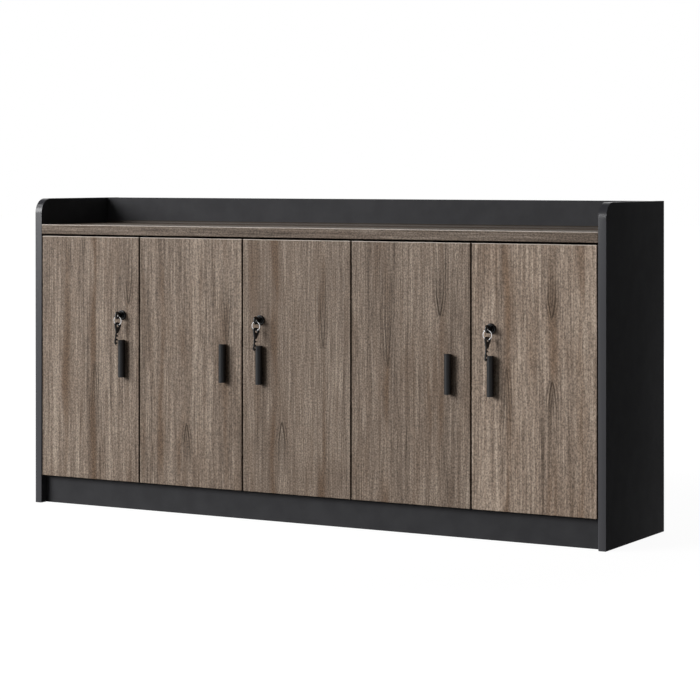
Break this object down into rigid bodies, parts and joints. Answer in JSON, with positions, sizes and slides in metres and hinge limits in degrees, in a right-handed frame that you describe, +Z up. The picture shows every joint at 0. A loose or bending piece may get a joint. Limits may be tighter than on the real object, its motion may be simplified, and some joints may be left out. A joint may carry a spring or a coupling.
{
  "type": "low filing cabinet",
  "caption": "Low filing cabinet with hinged wood-grain doors on concealed hinges, cam locks with hanging keys, bar handles, and a dark carcass whose sides and back rise above the top.",
  "frame": {"origin": "on the floor, at the middle of the object's outline seen from above, keys included", "axes": "+X to the right of the front, +Y to the back, +Z up"},
  "size_m": [1.63, 0.3826, 0.8],
  "materials": {
    "charcoal_board": "matt charcoal melamine on board",
    "top_laminate": "grey-brown wood-grain laminate, grain along the width",
    "door_laminate": "grey-brown wood-grain laminate, upright grain",
    "black_metal": "matt black",
    "black_lock_metal": "gloss black",
    "hinge_steel": "nickel-plated steel",
    "ring_chrome": "bright chrome",
    "black_key_plastic": "black moulded bow"
  },
  "bodies": {
    "carcass": {"left_side_panel": "charcoal_board", "right_side_panel": "charcoal_board", "top_board": "top_laminate", "back_upstand": "charcoal_board", "back_panel": "charcoal_board", "bottom_board": "charcoal_board", "plinth_front": "charcoal_board", "left_partition": "charcoal_board", "right_partition": "charcoal_board", "left_shelf": "charcoal_board", "middle_shelf": "charcoal_board", "right_shelf": "charcoal_board", "lower_hinge_arm_1": "hinge_steel", "upper_hinge_arm_1": "hinge_steel", "lower_hinge_arm_2": "hinge_steel", "upper_hinge_arm_2": "hinge_steel", "lower_hinge_arm_3": "hinge_steel", "upper_hinge_arm_3": "hinge_steel", "lower_hinge_arm_4": "hinge_steel", "upper_hinge_arm_4": "hinge_steel", "lower_hinge_arm_5": "hinge_steel", "upper_hinge_arm_5": "hinge_steel"},
    "door_1": {"door_1": "door_laminate", "handle_1": "black_metal", "lower_hinge_cup_1": "hinge_steel", "upper_hinge_cup_1": "hinge_steel", "lock_housing_1": "black_lock_metal"},
    "door_2": {"door_2": "door_laminate", "handle_2": "black_metal", "lower_hinge_cup_2": "hinge_steel", "upper_hinge_cup_2": "hinge_steel"},
    "door_3": {"door_3": "door_laminate", "handle_3": "black_metal", "lower_hinge_cup_3": "hinge_steel", "upper_hinge_cup_3": "hinge_steel", "lock_housing_3": "black_lock_metal"},
    "door_4": {"door_4": "door_laminate", "handle_4": "black_metal", "lower_hinge_cup_4": "hinge_steel", "upper_hinge_cup_4": "hinge_steel"},
    "door_5": {"door_5": "door_laminate", "handle_5": "black_metal", "lower_hinge_cup_5": "hinge_steel", "upper_hinge_cup_5": "hinge_steel", "lock_housing_5": "black_lock_metal"},
    "lock_1": {"lock_plug_1": "black_lock_metal", "lock_cam_1": "hinge_steel", "key_1": "black_key_plastic"},
    "lock_3": {"lock_plug_3": "black_lock_metal", "lock_cam_3": "hinge_steel", "key_3": "black_key_plastic"},
    "lock_5": {"lock_plug_5": "black_lock_metal", "lock_cam_5": "hinge_steel", "key_5": "black_key_plastic"},
    "key_ring_1": {"key_ring_1": "ring_chrome"},
    "key_ring_3": {"key_ring_3": "ring_chrome"},
    "key_ring_5": {"key_ring_5": "ring_chrome"},
    "spare_key_1": {"spare_key_1": "black_key_plastic"},
    "spare_key_3": {"spare_key_3": "black_key_plastic"},
    "spare_key_5": {"spare_key_5": "black_key_plastic"}
  },
  "joints": [
    {"name": "door_1_hinge", "type": "hinge", "parent": "carcass", "child": "door_1", "pos_m": [-0.779, -0.15039, 0.388], "axis": [0, 0, -1], "range_deg": [0, 95]},
    {"name": "door_2_hinge", "type": "hinge", "parent": "carcass", "child": "door_2", "pos_m": [-0.468, -0.15039, 0.388], "axis": [0, 0, -1], "range_deg": [0, 95]},
    {"name": "door_3_hinge", "type": "hinge", "parent": "carcass", "child": "door_3", "pos_m": [0.127, -0.15039, 0.388], "axis": [0, 0, 1], "range_deg": [0, 80]},
    {"name": "door_4_hinge", "type": "hinge", "parent": "carcass", "child": "door_4", "pos_m": [0.157, -0.15039, 0.388], "axis": [0, 0, -1], "range_deg": [0, 80]},
    {"name": "door_5_hinge", "type": "hinge", "parent": "carcass", "child": "door_5", "pos_m": [0.779, -0.15039, 0.388], "axis": [0, 0, 1], "range_deg": [0, 95]},
    {"name": "lock_1_turn", "type": "hinge", "parent": "door_1", "child": "lock_1", "pos_m": [-0.5365, -0.15869, 0.50145], "axis": [0, -1, 0], "range_deg": [0, 90]},
    {"name": "lock_3_turn", "type": "hinge", "parent": "door_3", "child": "lock_3", "pos_m": [-0.1175, -0.15869, 0.50145], "axis": [0, 1, 0], "range_deg": [0, 90]},
    {"name": "lock_5_turn", "type": "hinge", "parent": "door_5", "child": "lock_5", "pos_m": [0.522, -0.15869, 0.50145], "axis": [0, 1, 0], "range_deg": [0, 90]},
    {"name": "key_ring_1_swing", "type": "hinge", "parent": "lock_1", "child": "key_ring_1", "pos_m": [-0.5365, -0.17979, 0.49905], "axis": [-1, 0, 0], "range_deg": [0, 30]},
    {"name": "key_ring_3_swing", "type": "hinge", "parent": "lock_3", "child": "key_ring_3", "pos_m": [-0.1175, -0.17979, 0.49905], "axis": [-1, 0, 0], "range_deg": [0, 30]},
    {"name": "key_ring_5_swing", "type": "hinge", "parent": "lock_5", "child": "key_ring_5", "pos_m": [0.522, -0.17979, 0.49905], "axis": [-1, 0, 0], "range_deg": [0, 30]},
    {"name": "spare_key_1_swing", "type": "hinge", "parent": "key_ring_1", "child": "spare_key_1", "pos_m": [-0.5365, -0.17784, 0.47674], "axis": [-1, 0, 0], "range_deg": [0, 30]},
    {"name": "spare_key_3_swing", "type": "hinge", "parent": "key_ring_3", "child": "spare_key_3", "pos_m": [-0.1175, -0.17784, 0.47674], "axis": [-1, 0, 0], "range_deg": [0, 30]},
    {"name": "spare_key_5_swing", "type": "hinge", "parent": "key_ring_5", "child": "spare_key_5", "pos_m": [0.522, -0.17784, 0.47674], "axis": [-1, 0, 0], "range_deg": [0, 30]}
  ]
}
